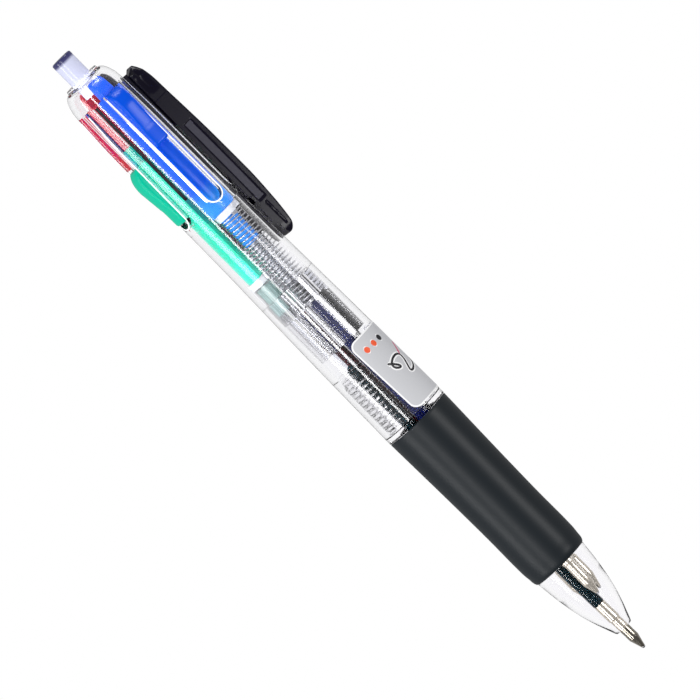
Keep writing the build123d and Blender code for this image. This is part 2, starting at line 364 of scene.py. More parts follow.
def button_look(name, colour):
    """A see-through coloured plastic that glows a little in its own colour as painted light: full colour
    under the thumb, and painted paler along the carriage's front as light shines through it. The clicked-in
    button's socket is painted near white inside its spring.
    """
    # painted light: glow=0.08 makes the plastic glow faintly in its own colour, standing for light passing
    # through it
    m = material(f"{name}_plastic", colour, 0.22, clear=0.25, shine=0.12, glow=0.08)
    let_light_in(m, tuple(0.25 + 0.6 * v for v in colour))
    backlit_pale = tuple((1 - BACKLIT_SHARE) * v + BACKLIT_SHARE * p for v, p in zip(colour, BACKLIT_PALE))
    front = 33.0 + (TRAVEL if name == OUT else 0.0)
    stops = [(RAMP_START, colour), (front, colour), (front + BACKLIT_FADE, backlit_pale), (SOCKET_FROM, backlit_pale)]
    stops.append((SOCKET_FROM + SOCKET_FADE, SOCKET_PAINTED_LIGHT if name == OUT else backlit_pale))
    return along_ramp(m, stops)


def plug_look(colour):
    """Pale smoke plastic, dark at its rear face."""
    smoke = let_light_in(material("smoke_plastic", colour, 0.2, clear=0.12), (0.8, 0.8, 0.9))
    return along_ramp(smoke, [(-0.1, SMOKE_DARK), (0.75, SMOKE_EDGE), (1.3, colour), (8.5, colour)])


def clip_panel_look():
    """The lightly grained floor of the clip's sunk panel."""
    return noise_bump(material("clip_panel", (0.032, 0.030, 0.048), 0.38, coat=0.1, shine=0.3), 2500, 0.00003)


def refill_looks():
    """The refills' clear tube, metal tip and ball, and one ink for each colour."""
    tube = material("refill_tube", (0.93, 0.94, 0.97), 0.05, clear=1.0, ior=1.42, shine=0.1)
    refill = {
        "tube": let_light_in(tube, (0.9, 0.9, 0.92)),
        "tip": material("nickel_silver", (0.53, 0.49, 0.42), 0.22, metal=1.0),
        "ball": material("steel_ball", (0.55, 0.55, 0.57), 0.12, metal=1.0),
    }
    for name, colour in INKS.items():
        refill["column_" + name] = material(f"ink_{name}", colour, 0.8, shine=0.0)
    return refill


def label_looks(film):
    """The label's film and its printing."""
    return {
        "label": material("label_film", film, 0.55),
        "white": material("label_white", (0.92, 0.92, 0.93), 0.4),
        "ink_black": material("print_black", (0.012, 0.012, 0.016), 0.4),
        "ink_orange": material("print_orange", (0.85, 0.09, 0.015), 0.4),
        "ink_rose": material("print_rose", (0.62, 0.04, 0.16), 0.4),
    }


def looks():
    """All the pen's materials, made once."""
    if made:
        return made
    c = bpy.context.scene.pen_colours
    made.update(clear_looks())
    for name in ("blue", "green", "red"):
        made[name] = button_look(name, tuple(getattr(c, name)))
    made["black"] = material("black_plastic", tuple(c.black), 0.2, shine=0.2)
    made["panel"] = clip_panel_look()
    made["plug"] = plug_look(tuple(c.plug))
    made["rubber"] = noise_bump(material("grip_rubber", tuple(c.rubber), 0.42, shine=0.3), 9000, 0.000004)
    made["steel"] = material("spring_steel", (0.62, 0.62, 0.64), 0.28, metal=1.0)
    made["washer"] = material("white_plastic", (0.55, 0.56, 0.59), 0.35)
    made.update(refill_looks())
    made.update(label_looks(tuple(c.label)))
    return made


def dress(node, m):
    """Give a CAD node one material."""
    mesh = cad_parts[node].data
    mesh.materials.clear()
    mesh.materials.append(m)


# ------------------------------------------------------------------ barrel
# stations and radii of the barrel's outside and of its bore
BARREL = ((10.5, 19.0, 46.0, 54.4, 63.0, 72.0, 87.9), (5.45, 5.8, 5.93, 6.07, 6.25, 6.4, 6.58))
BORE = (
    (10.5, 38.5, 38.55, 56.5, 56.55, 74.5, 74.6, 87.9),
    (4.7, 4.7, 5.0, 5.0, 5.2, 5.2, 5.6, 5.6),
)
REAR_OUTER = ((5.1, 1.9), (5.1, 3.36), (5.22, 3.5), (5.6, 3.5))  # from the plug's hole over the rear rim
REAR_INNER = ((6.35, 1.9), (6.35, 2.3), (6.35, 2.7), (6.35, 3.0))
DOME_END = 10.5
DOME_OUTER, DOME_INNER = (4.9, 3.5, 1.95), (4.15, 3.0, 1.7)  # length, first radius, how much the radius grows
SLOT_HALF, SLOT_START, SLOT_END = 1.75, 10.0, 36.9
SLOT_ROUND = SLOT_END - SLOT_HALF  # the centre of a slot's round front end
RIB_HALF, RIB_R, RIB_START, RIB_END = 0.4, 2.5, 10.5, 33.0
ROW_STEP = 0.8
LAND, GAP = 22, 14  # columns beside a slot and across it
HIGHLIGHT_OUT, HIGHLIGHT_R = 0.10, 0.13  # the painted highlight bead round a slot: how far outside the slot, and its own radius


def barrel_rows():
    """Outer and inner stations and radii of the barrel's rows, and the slot's half width at each. The dome is
    a quarter of an ellipse, with one row just where the slots start."""
    t = np.linspace(0, np.pi / 2, 25)
    t = np.unique(np.append(t, math.acos((DOME_END - SLOT_START) / DOME_OUTER[0])))[1:]
    outer, inner = [
        np.concatenate([rim, np.stack([DOME_END - length * np.cos(t), first + growth * np.sin(t)], -1)])
        for rim, (length, first, growth) in ((REAR_OUTER, DOME_OUTER), (REAR_INNER, DOME_INNER))
    ]
    straight = np.concatenate(
        [
            np.arange(11.0, SLOT_ROUND - 0.2, ROW_STEP),
            SLOT_ROUND + SLOT_HALF * np.sin(np.linspace(0, np.pi / 2, 16)),
            [SLOT_END + 0.12, RIB_START + 0.01, RIB_END, RIB_END + 0.01],
            np.arange(38.0, 87.5, ROW_STEP),
            BORE[0][1:],
        ]
    )
    straight = np.unique(np.round(straight, 5))
    lo, ro = np.append(outer[:, 0], straight), np.append(outer[:, 1], curve(*BARREL, straight))
    li, ri = np.append(inner[:, 0], straight), np.append(inner[:, 1], np.interp(straight, *BORE))
    past = np.clip((lo - SLOT_ROUND) / SLOT_HALF, 0, 1)
    half = SLOT_HALF * np.sqrt(1 - past**2)
    half[lo > SLOT_END + 0.01] = SLOT_HALF
    return lo, ro, li, ri, half


def barrel_skin(stations, radius, half, ribbed):
    """One skin of the barrel in four equal sectors, with a slot in the middle of each whose edges are at
    asin(half / r). Where two sectors meet, the rows that are ribbed dip towards the axis: a guide rib."""
    quarter = math.pi / 4
    widest = math.sin(math.radians(30))
    edge = np.arcsin(np.clip(half / radius, 0, widest))[:, None]
    root = np.arcsin(RIB_HALF / radius)[:, None]
    tip = np.where(ribbed[:, None], math.asin(RIB_HALF / RIB_R), 0.5 * root)
    side = edge + (quarter - root - edge) * np.linspace(0, 1, LAND - 1)[None, 1:]
    across = np.linspace(-1, 1, GAP + 1)[None, :]
    rib = [0 * tip - quarter, tip - quarter, root - quarter]
    sector = np.concatenate([*rib, -side[:, -2::-1], edge * across, side, quarter - tip], 1)
    r = np.repeat(radius[:, None], sector.shape[1], 1)
    r[np.ix_(ribbed, [0, 1, sector.shape[1] - 1])] = RIB_R
    angle = np.concatenate([sector + math.radians(PHI["blue"] + 90 * k) for k in range(4)], 1)
    return ring(stations[:, None], np.tile(r, 4), angle)


def barrel_shell(part):
    """Outer and inner skins of the barrel without the quads over the slots, joined by walls along every edge
    between a kept and a dropped quad and at both ends."""
    lo, ro, li, ri, half = barrel_rows()
    outer = barrel_skin(lo, ro, half, np.zeros(len(lo), bool))
    inner = barrel_skin(li, ri, half, (li > RIB_START + 0.005) & (li < RIB_END + 0.005))
    rows, cols = outer.shape[:2]
    sector = cols // 4
    keep = np.ones((rows - 1, cols), bool)
    in_slot = (lo[:-1] >= SLOT_START - 0.001) & (lo[1:] <= SLOT_END + 0.001)
    for k in range(4):
        keep[in_slot, k * sector + LAND : k * sector + LAND + GAP] = False
    a = np.arange(rows * cols).reshape(rows, cols)
    b = np.roll(a, -1, 1)
    up, down, up_next, down_next = a[:-1], a[1:], b[:-1], b[1:]
    within = rows * cols  # from a point of the outer skin to its fellow on the inner one
    skin = np.stack([up, up_next, down_next, down], -1)[keep]
    no_row = np.zeros((1, cols), bool)
    walls = (
        (up, down, keep & ~np.roll(keep, 1, 1)),
        (down_next, up_next, keep & ~np.roll(keep, -1, 1)),
        (up_next, up, keep & ~np.vstack([no_row, keep[:-1]])),
        (down, down_next, keep & ~np.vstack([keep[1:], no_row])),
    )
    faces = [skin, skin[:, ::-1] + within]
    faces += [np.stack([p, q, q + within, p + within], -1)[where] for p, q, where in walls]
    part.add(np.concatenate([outer.reshape(-1, 3), inner.reshape(-1, 3)]), np.concatenate(faces))


def slot_highlight_bead(part, phi):
    """A painted highlight round a slot: a thin bead along a long U, in white that glows, where the slot's
    edge would catch the light.
    """
    side, rows = SLOT_HALF + HIGHLIGHT_OUT, 60
    straight = np.linspace(SLOT_START + 0.8, SLOT_ROUND, rows)
    t = np.linspace(0, np.pi, 40)[1:-1]
    l = np.concatenate([straight, SLOT_ROUND + side * np.sin(t), straight[::-1]])
    across = np.concatenate([np.full(rows, side), side * np.cos(t), np.full(rows, -side)])
    d = np.stack([np.gradient(l), np.gradient(across)], -1)
    d /= np.linalg.norm(d, axis=1, keepdims=True)
    a = full_turn(8)
    ll = l[:, None] - d[:, 1:] * HIGHLIGHT_R * np.cos(a)
    aa = across[:, None] + d[:, :1] * HIGHLIGHT_R * np.cos(a)
    proud = 0.03
    up = np.sqrt(curve(*BARREL, ll) ** 2 - aa**2) + proud * np.sin(a)
    part.grid(at_button(np.stack([ll, aa, up], -1), phi), mat=1)


class PEN_OT_barrel(bpy.types.Operator):
    """Clear rear barrel with its dome, slots and guide ribs"""

    bl_idname = "pen.barrel"
    bl_label = "Rear barrel"

    def execute(self, context):
        part = Part()
        barrel_shell(part)
        for phi in PHI.values():
            slot_highlight_bead(part, phi)
        # the second material is the painted highlight of the slot beads, a glowing white
        materials = [looks()["clear"], looks()["edge"]]
        part.object("barrel_shell", "barrel", materials, ["rear_barrel"], "clear_plastic", sharp=30)
        dress("spring_seat", looks()["clear"])
        dress("end_plug", looks()["plug"])
        return {"FINISHED"}


# ------------------------------------------------------------------ nose and grip
THREAD_START, THREAD_END, THREAD_STEP = 75.9, 87.61, 0.05
THREAD_FADE = (76.0, 87.5, 0.9, 0.7)  # first and last station, and how long each end takes to rise
RIDGE_SLOPE, VALLEY_FLOOR = 9, 0.3
SPIGOT_R, BORE_R = 5.15, 4.2  # the nose's threaded rear end, and the room for the refills
FLANGE = ((87.85, 5.15), (87.9, 5.2), (87.9, 6.5), (87.98, 6.58), (89.02, 6.58), (89.1, 6.5), (89.1, 4.98))
# stations and radii
NOSE = ((125.0, 129.0, 133.3, 137.0, 139.5, 140.6), (5.42, 4.98, 4.22, 3.18, 2.28, 1.86))
MOUTH = ((140.86, 1.7), (140.9, 1.5), (140.9, 1.2), (139.6, 1.2), (138.6, 1.5), (130.0, 4.0), (129.3, 4.18))
GRIP = ((89.3, 93.0, 98.0, 107.0, 114.0, 119.0, 121.5, 123.4), (6.56, 6.48, 6.36, 6.18, 6.1, 6.13, 6.1, 5.93))
GRIP_FRONT, GRIP_RIM = 124.9, (1.5, 0.58)  # the front rim's length and height


def nose_shell(pitch, height, segments):
    """The nose turned about the axis. Its spigot carries a thread: a wide flat-topped ridge with a narrow
    valley, whose place along the pen moves on by one pitch for each turn, and which fades at both ends."""
    ogive_l = np.linspace(NOSE[0][0], NOSE[0][-1], 34)
    outline = [(75.4, BORE_R), (75.4, 5.05), (75.5, SPIGOT_R)]
    outline += [(l, SPIGOT_R) for l in np.arange(THREAD_START, THREAD_END, THREAD_STEP)]
    outline += [*FLANGE, (GRIP_FRONT, 4.98), (GRIP_FRONT, 5.36), *zip(ogive_l, curve(*NOSE, ogive_l))]
    outline = np.array([*outline, *MOUTH, (128.5, BORE_R)])
    l, r = outline[:, :1], outline[:, 1:]
    angle = full_turn(segments)
    along = np.mod(l / pitch - angle / (2 * np.pi), 1.0)
    ridge = np.clip((0.5 - np.abs(along - 0.5)) * RIDGE_SLOPE - VALLEY_FLOOR, 0, 1)
    return ring(l, r + height * ridge * between(l, *THREAD_FADE) * (r == SPIGOT_R), angle)


def grip_sleeve(segments):
    """The grip turned about the axis: a long shallow waist, then a rim rounded as a quarter of an ellipse."""
    l = np.linspace(GRIP[0][0], GRIP[0][-1], 80)
    t = np.linspace(0, np.pi / 2, 12)[1:]
    length, height = GRIP_RIM
    rim = zip(GRIP[0][-1] + length * np.sin(t), GRIP[1][-1] - height + height * np.cos(t))
    outline = [(89.12, 5.0), (89.12, 6.4), (89.16, 6.5), *zip(l, curve(*GRIP, l)), *rim, (GRIP_FRONT, 5.0)]
    outline = np.array(outline)
    return ring(outline[:, :1], outline[:, 1:], full_turn(segments))


class PEN_OT_front(bpy.types.Operator):
    """Clear nose with its screw thread, and the rubber grip"""

    bl_idname = "pen.front"
    bl_label = "Nose and grip"

    def execute(self, context):
        shape = context.scene.pen_shape
        nose = nose_shell(shape.thread_pitch / MM, shape.thread_height / MM, shape.segments)
        Part().grid(nose, wrap_rows=True).object(
            "nose_shell", "front_section", [looks()["nose"]], ["front_barrel"], "clear_plastic", sharp=40
        )
        Part().grid(grip_sleeve(shape.segments), wrap_rows=True).object(
            "grip_sleeve", "front_section", [looks()["rubber"]], ["grip"], "grip_rubber", sharp=50
        )
        return {"FINISHED"}


# ------------------------------------------------------------------ buttons
CARRIAGE_R, CARRIAGE_HALF_ANGLE = 4.55, 38.3
CARRIAGE_FOOT = (0.865, 1.6)  # half width and height of the wedge's foot
# stations, and the section's scale there, so that both ends are chamfered
CARRIAGE_ENDS = ((10.2, 0.94), (10.3, 0.98), (10.5, 1.0), (38.6, 1.0), (38.8, 0.98), (38.9, 0.94))
LUG = ((6.7, 7.4, 8.5, 10.4), (3.15, 3.65, 4.05, 4.25))  # the rear lug's stations and heights
# the socket's outside, its mouth and its bore, about the refill's axis
SOCKET = ((38.7, 1.6), (46.3, 1.6), (46.5, 1.52), (46.5, 1.43), (40.0, 1.25))
# stations, with the height of a knob's top and the radius of its upper corners
KNOB_TOP = (
    (10.2, 11.0, 11.7, 12.6, 13.4, 14.0, 18.6, 19.0, 19.5, 22.8),
    (5.75, 6.35, 6.68, 6.9, 6.98, 6.97, 6.42, 6.3, 6.25, 6.2),
)
KNOB_CORNER = ((10.2, 13.0, 18.6, 19.5, 22.8), (0.55, 0.7, 0.6, 0.45, 0.45))
KNOB_HALF, KNOB_FOOT, KNOB_END = 1.6, 4.3, 22.8
PAD_START, PAD_LENGTH, PAD_HALF, PAD_FLOOR = 9.8, 7.34, 2.0, 6.12
# distance from the pad's rear end, and its height
PAD_TOP = ((0, 0.2, 0.9, 1.8, 4.2, 7.34), (8.35, 8.52, 8.85, 9.12, 9.5, 9.62))


def carriage(part, shift, phi):
    """The part of a button that runs inside the barrel: a wedge whose top is an arc round the pen's axis, a
    rear lug, and a socket turned about the refill's axis."""
    a = np.linspace(-1, 1, 25)[::-1] * math.radians(CARRIAGE_HALF_ANGLE)
    foot, floor = CARRIAGE_FOOT
    top = CARRIAGE_R * np.stack([np.sin(a), np.cos(a)], -1)
    section = np.concatenate([top, [[-foot, floor], [0.0, floor], [foot, floor]]])
    centre = np.array([0.0, 3.2])
    l, scale = np.array(CARRIAGE_ENDS).T
    s = centre + (section - centre)[None] * scale[:, None, None]
    loft(part, l + shift, s[..., 0], s[..., 1], phi)
    l = np.linspace(LUG[0][0], LUG[0][-1], 14)
    half = np.interp(l, [6.7, 7.2, 10.4], [1.2, 1.36, 1.4])
    loft(part, l + shift, *tombstone(half, 2.3, curve(*LUG, l), 0.3), phi)
    l, r = np.array(SOCKET).T[..., None]
    around = full_turn(40)
    stem = np.stack([l + shift + 0 * around, r * np.sin(around), PITCH_R + r * np.cos(around)], -1)
    part.grid(at_button(stem, phi))


def knob(part, shift, phi):
    """A slide button's knob: a rear slope up to a crest, a long flat facet down, and a low front step. Both
    ends are eased, and a moving average over five rows rounds the facets' edges."""
    rear, front = [10.2, 10.24, 10.34, 10.5], [22.35, 22.55, 22.7, 22.78, KNOB_END]
    l = np.concatenate([rear, np.arange(10.7, 22.3, 0.15), front])
    high = np.interp(l, *KNOB_TOP)
    average = np.array([1.0, 2.0, 3.0, 2.0, 1.0]) / 9.0
    high[4:-5] = np.convolve(high, average, "same")[4:-5]
    ease = np.zeros_like(l)
    ease[:3] = [0.32, 0.14, 0.04]
    ease[-4:] = [0.06, 0.16, 0.3, 0.5]
    corner = np.interp(l, *KNOB_CORNER)
    loft(part, l + shift, *tombstone(KNOB_HALF - 0.4 * ease, KNOB_FOOT, high - ease, corner, 0.05), phi)


def thumb_pad(part, phi):
    """The black button's pad: a crowned block with an oval hollow in each flank, on two blocks in the slot.
    The rear end leans back towards the top, so each point's station depends on its height."""
    for start, end, high in ((10.2, 17.1, 6.2), (17.0, KNOB_END, 5.95)):
        loft(part, [start, end], *tombstone([KNOB_HALF] * 2, KNOB_FOOT, high, 0.1), phi)
    l = np.concatenate([np.linspace(0, 0.2, 4), np.arange(0.35, 7.2, 0.12), [7.3, PAD_LENGTH]])
    s = (l / PAD_LENGTH)[:, None]
    y, z = tombstone(PAD_HALF, PAD_FLOOR, curve(*PAD_TOP, l), 0.42, 0.06)
    lean = 1.45 * smooth((8.2 - z) / 1.6) - 0.45 * smooth((7.0 - z) / 0.9)
    station = PAD_START + lean * (1 - s) ** 6 + PAD_LENGTH * s
    hollow = 1 - ((station - 13.3) / 2.9) ** 2 - ((z - 7.75) / 0.75) ** 2
    y = y - np.sign(y) * 0.34 * smooth(hollow * 1.4) * (np.abs(y) > 1.9)
    # the upper rear corner narrows to half its width
    y = y * (1 - 0.5 * np.clip(1 - (station - PAD_START) / 1.9, 0, 1) * smooth((z - 6.9) / 0.5))
    part.grid(at_button(np.stack([station, y, z], -1), phi))


class PEN_OT_buttons(bpy.types.Operator):
    """The four slide buttons with their carriages and washers"""

    bl_idname = "pen.buttons"
    bl_label = "Buttons"

    def execute(self, context):
        for name, phi in PHI.items():
            shift = TRAVEL if name == OUT else 0.0
            part = Part()
            carriage(part, shift, phi)
            if name == "black":
                thumb_pad(part, phi)
            else:
                knob(part, shift, phi)
            button = f"{name}_button"
            part.object(button, button, [looks()[name]], [f"{name}_slider"], f"{name}_plastic", sharp=40)
            dress(f"{name}_washer", looks()["washer"])
        return {"FINISHED"}


# ------------------------------------------------------------------ clip
# stations, with the clip's top and its lower edge
CLIP_HIGH = ((17.2, 22.0, 28.1, 36.8, 43.9, 47.0, 48.2), (9.62, 9.83, 10.02, 10.08, 9.72, 9.38, 9.2))
CLIP_LOW = ((17.2, 40.6, 41.0, 43.0, 43.5, 46.8, 47.4, 50.2), (6.1, 6.1, 6.72, 6.72, 6.2, 6.2, 6.75, 6.8))
CLIP_HALF, CLIP_WALL = 2.0, 1.15
TIP_START, TIP_LENGTH, TIP_MIDDLE = 48.0, 2.22, 7.65  # the round end: an ellipse about this height
SIDE, TOP = 26, 12  # rows up a flank and across the top


def clip_envelope():
    """The clip's stations, and its half width, lowest and highest point at each."""
    round_end = TIP_START + 2.2 * np.sin(np.linspace(0, np.pi / 2, 12))
    l = np.concatenate([[16.6, 17.1], np.arange(17.2, TIP_START, 0.16), round_end])
    high = curve(*CLIP_HIGH, np.minimum(l, CLIP_HIGH[0][-1]))
    low = np.interp(l, *CLIP_LOW)
    tip = np.sqrt(np.clip(1 - ((l - TIP_START) / TIP_LENGTH) ** 2, 0, 1))
    tip[l < TIP_START] = 1.0
    high = np.where(l > TIP_START, TIP_MIDDLE + (high - TIP_MIDDLE) * tip, high)
    low = np.where(l > TIP_START, TIP_MIDDLE + (low - TIP_MIDDLE) * np.maximum(tip, 0.02), low)
    half = np.where(l > TIP_START, CLIP_HALF * (0.55 + 0.45 * tip), CLIP_HALF)
    # the first rows are a tongue inside the pad, so that the two read as one moulding
    half[:2] -= 0.03
    high[:2] -= 0.03
    return [v[:, None] for v in (l, half, low, high)]


def clip_arm(part, phi):
    """The clip as one section per station, walked up the right flank, over the top, down the left flank and
    round the channel underneath. Each flank has a sunk panel from the pad to two thirds of the way, then a
    long narrow groove; the panels' floors take the second material."""
    l, half, low, high = clip_envelope()
    corner = np.minimum(0.42, (high - low) * 0.3)
    side_z = low + (high - corner - low) * np.linspace(0, 1, SIDE)[None, :]
    panel = between(l, 23.6, 42.6, 0.15, 0.35) * between(side_z, 6.95, 8.85, 0.2, 0.2)
    groove = between(l, 43.1, 48.6, 0.3, 0.5) * smooth(1 - np.abs(side_z - 7.95) / 0.32)
    side_y = half - 0.14 * panel - 0.22 * groove
    bend = np.linspace(0, np.pi / 2, 8)[None, 1:]
    corner_y = half - corner + corner * np.cos(bend)
    corner_z = high - corner + corner * np.sin(bend)
    top = np.linspace(1, -1, TOP)[None, 1:-1]
    top_y, top_z = (half - corner) * top, high + 0.08 * (1 - top**2)
    depth = (8.3 - low) * between(l, 18.3, 42.3, 0.3, 0.6)
    into = np.linspace(0, 1, 5)[None, :]
    wall_y, wall_z = np.minimum(CLIP_WALL, half * 0.57) * np.ones_like(into), low + depth * into
    y = [side_y, corner_y, top_y, -corner_y[:, ::-1], -side_y[:, ::-1], -wall_y, wall_y]
    z = [side_z, corner_z, top_z, corner_z[:, ::-1], side_z[:, ::-1], wall_z, wall_z[:, ::-1]]
    across, up = np.concatenate(y, 1), np.concatenate(z, 1)
    part.grid(at_button(np.stack([np.broadcast_to(l, across.shape), across, up], -1), phi))
    sunk = [panel, 0 * corner_y, 0 * top_y, 0 * corner_y, panel[:, ::-1], 0 * wall_y, 0 * wall_y]
    sunk = np.concatenate(sunk, 1)
    beside = np.roll(sunk, -1, 1)
    floor = np.minimum.reduce([sunk[:-1], sunk[1:], beside[:-1], beside[1:]]) > 0.9
    part.mats[: floor.size] = list(floor.reshape(-1).astype(int))


class PEN_OT_clip(bpy.types.Operator):
    """The clip: a channel with a sunk panel in each flank and a groove near its end"""

    bl_idname = "pen.clip"
    bl_label = "Clip"

    def execute(self, context):
        part = Part()
        clip_arm(part, PHI["black"])
        materials = [looks()["black"], looks()["panel"]]
        part.object("clip_arm", "clip", materials, ["clip"], "black_plastic", sharp=40)
        return {"FINISHED"}


# ------------------------------------------------------------------ springs
COIL_R, COIL_REAR = 1.81, 40.25
DEAD_TURNS = 1.25  # closed turns at each end
PRESSED_WIRE = 0.62  # the pressed spring's wire along the pen, so that its turns stay clear of each other
PER_TURN, AROUND = 44, 10  # rows for each turn, and points round the wire


def coil(rear, front, phi, turns, across, along):
    """Points of a round-wire coil: a circle carried along a helix whose ends are closed turns. The wire is
    `across` thick seen from the end and `along` thick along the pen."""
    t = np.linspace(0, turns, int(turns * PER_TURN) + 1)
    live = np.clip((t - DEAD_TURNS) / (turns - 2 * DEAD_TURNS), 0, 1)
    closed = along * 1.03 * DEAD_TURNS
    dead = np.minimum(t, DEAD_TURNS) + np.maximum(t - (turns - DEAD_TURNS), 0)
    station = dead / DEAD_TURNS * closed + rear + along / 2 + live * (front - rear - along - 2 * closed)
    angle = 2 * np.pi * t[:, None]
    psi = full_turn(AROUND)
    r = COIL_R + across / 2 * np.cos(psi)
    l = station[:, None] + along / 2 * np.sin(psi)
    return at_button(np.stack([l, r * np.sin(angle), PITCH_R + r * np.cos(angle)], -1), phi)


class PEN_OT_springs(bpy.types.Operator):
    """The four return springs"""

    bl_idname = "pen.springs"
    bl_label = "Springs"

    def execute(self, context):
        shape = context.scene.pen_shape
        wire = shape.wire / MM
        for name, phi in PHI.items():
            out = name == OUT
            start = COIL_REAR + (TRAVEL if out else 0.0)
            body = None if out else "barrel"
            points = coil(start, SEAT_FLOOR, phi, shape.turns, wire, wire * (PRESSED_WIRE if out else 1.0))
            spring = Part().grid(points).object(
                f"{name}_coil", body, [looks()["steel"]], [f"{name}_spring"], "spring_steel"
            )
            if out:
                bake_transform(spring)
            else:
                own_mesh(spring)
        return {"FINISHED"}


# ------------------------------------------------------------------ refills
REFILL_START, TUBE_END, TUBE_R, TUBE_HOLE = 52.5, 134.7, 1.15, 0.8
INK_START, INK_R = 73.9, 0.84  # the column laps a little into the tube's wall, so that no sliver of air shows
AXIS_GAP = 0.02  # radius at which the outlines stop short of their axis
TILT = {True: 1.888, False: 0.40}  # degrees towards the pen's axis, out and in
TUBE = (
    (REFILL_START, TUBE_HOLE),
    (REFILL_START, 1.1),
    (REFILL_START + 0.05, TUBE_R),
    (TUBE_END - 0.05, TUBE_R),
    (TUBE_END, 1.1),
    (TUBE_END, TUBE_HOLE),
)
INK = (
    (INK_START, AXIS_GAP),
    (INK_START + 0.2, 0.5),
    (INK_START + 0.7, INK_R),
    (TUBE_END - 0.02, INK_R),
    (TUBE_END - 0.02, AXIS_GAP),
)
TIP = (
    *((TUBE_END + 0.01, AXIS_GAP), (TUBE_END + 0.01, 1.02), (TUBE_END + 0.1, 1.13)),
    *((138.35, 1.13), (138.45, 1.05), (138.6, 1.0), (142.1, 1.0)),  # the wide rear step
    *((142.15, 0.95), (142.25, 0.95), (142.3, 1.0), (143.4, 1.0)),  # a fine groove
    *((143.55, 0.95), (145.1, 0.5), (145.62, 0.37), (145.68, 0.33), (145.68, AXIS_GAP)),  # the cone
)


def tilted(outline, out, phi):
    """Turn an outline about a refill's own axis, tilt it about its rear end and set it in its socket."""
    outline = np.array(outline)
    p = ring(outline[:, :1] - REFILL_START, outline[:, 1:], full_turn(48))
    c, s = math.cos(math.radians(TILT[out])), math.sin(math.radians(TILT[out]))
    l, up = p[..., 0] * c + p[..., 2] * s, p[..., 2] * c - p[..., 0] * s
    start = REFILL_START - (0.0 if out else TRAVEL)
    return at_button(np.stack([l + start, p[..., 1], up + PITCH_R], -1), phi)


class PEN_OT_refills(bpy.types.Operator):
    """The four refills: tubes, ink columns and metal tips"""

    bl_idname = "pen.refills"
    bl_label = "Refills"

    def execute(self, context):
        for name, phi in PHI.items():
            for piece, outline, look, node, slot in (
                ("refill_tube", TUBE, "tube", "tube", "refill_tube"),
                ("ink_column", INK, "column_" + name, "ink", f"ink_{name}"),
                ("metal_tip", TIP, "tip", "tip", "nickel_silver"),
            ):
                Part().grid(tilted(outline, name == OUT, phi), wrap_rows=piece == "refill_tube").object(
                    f"{name}_{piece}", f"{name}_refill", [looks()[look]], [f"{name}_{node}"], slot
                )
            dress(f"{name}_ball", looks()["ball"])
        return {"FINISHED"}


# ------------------------------------------------------------------ label
LABEL = (71.2, 87.5, 7.5, 133.5)  # first and last station, first and last angle
LABEL_R, LABEL_SKEW = 6.49, 0.045
LABEL_ARC = math.radians(LABEL[3] - LABEL[2]) * LABEL_R
FILM, RIM = (0.03, 0.06), 0.28  # the white film's two faces over the barrel, and its margin round the grey
WHITE, GREY, BLACK, ORANGE, ROSE = range(5)  # the label's materials
PRINT, OVERPRINT, PRINT_THICK = 0.082, 0.094, 0.012  # heights over the barrel
DOTS = ((1.5, 2.6, ORANGE), (3.4, 4.5, ORANGE), (5.3, 6.4, BLACK))  # from, to, material
DOT_LINE = 73.9


def on_label(l, arc, rise):
    """Points on the label: station, millimetres round it from its first edge, and height over the barrel. The
    label was stuck on a little askew."""
    l, arc = np.broadcast_arrays(l, arc)
    arc = arc - LABEL_SKEW * (LABEL[1] - l)
    return ring(l, curve(*BARREL, l) + rise, math.radians(LABEL[2]) + arc / LABEL_R)


def rounded_sheet(part, inset, corner, low, high, mat):
    """A thin sheet on the barrel, inset from the label's edge, with corners that are quarter circles."""
    a0, a1 = inset, LABEL_ARC - inset
    arc = a0 + (a1 - a0) * (0.5 - 0.5 * np.cos(np.pi * np.linspace(0, 1, 90)))
    edge = np.minimum(arc - a0, a1 - arc)
    cut = corner - np.sqrt(np.clip(corner**2 - np.clip(corner - edge, 0, corner) ** 2, 0, None))
    l0, l1 = LABEL[0] + inset + cut, LABEL[1] - inset - cut
    l = l0[:, None] + (l1 - l0)[:, None] * np.linspace(0, 1, 28)[None, :]
    top, bottom = on_label(l, arc[:, None], high), on_label(l, arc[:, None], low)
    part.grid(np.concatenate([top, bottom[:, ::-1]], 1), mat=mat)


def stroke(part, l, arc, width, rise, mat):
    """A printed line along a path on the label: a band to both sides of it, with round ends."""
    d = np.stack([np.gradient(l), np.gradient(arc)], -1)
    d /= np.linalg.norm(d, axis=1, keepdims=True)
    gone = np.concatenate([[0], np.cumsum(np.hypot(np.diff(l), np.diff(arc)))])
    end = np.minimum(gone, gone[-1] - gone)
    half = width / 2 * np.sqrt(np.clip(1 - np.clip(1 - end / (width / 2), 0, 1) ** 2, 0.0004, None))
    across = half[:, None] * np.linspace(-1, 1, 5)[None, :]
    ll, aa = l[:, None] - d[:, 1:] * across, arc[:, None] + d[:, :1] * across
    top, bottom = on_label(ll, aa, rise), on_label(ll, aa, rise - PRINT_THICK)
    part.grid(np.concatenate([top, bottom[:, ::-1]], 1), mat=mat)


